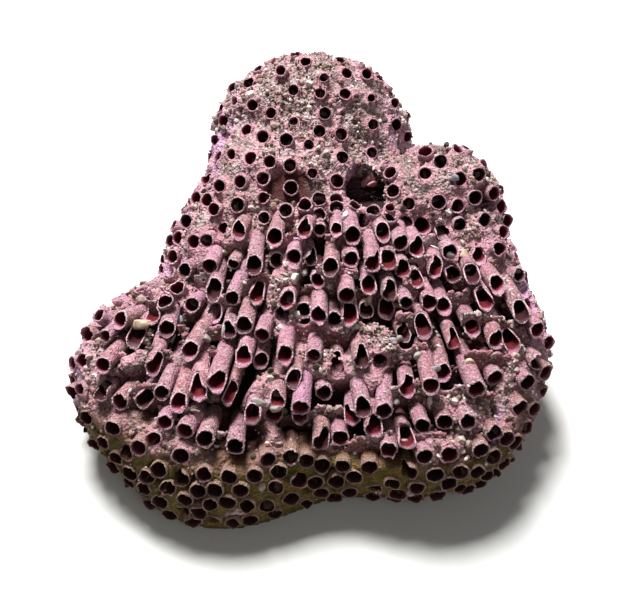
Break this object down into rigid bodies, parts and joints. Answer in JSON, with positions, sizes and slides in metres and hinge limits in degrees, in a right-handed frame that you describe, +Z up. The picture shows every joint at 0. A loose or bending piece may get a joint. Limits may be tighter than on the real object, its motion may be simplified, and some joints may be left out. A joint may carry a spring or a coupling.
{
  "type": "red coral",
  "caption": "Lump of red organ pipe coral: a low lobed mass of thin pink pipes with dark open mouths, standing free in a worn front band, cut flat underneath",
  "frame": {"origin": "under the middle of the colony, on the flat cut that it rests on", "axes": "+Z up out of the flat cut, the shortest way through; +Y from the open front band towards the tall back lobe, the longest way; +X to the right as seen from the front"},
  "size_m": [0.0627, 0.0769, 0.0293],
  "materials": {
    "coral": "matt, chalky"
  },
  "bodies": {
    "root": {"coral": "coral"}
  },
  "joints": []
}
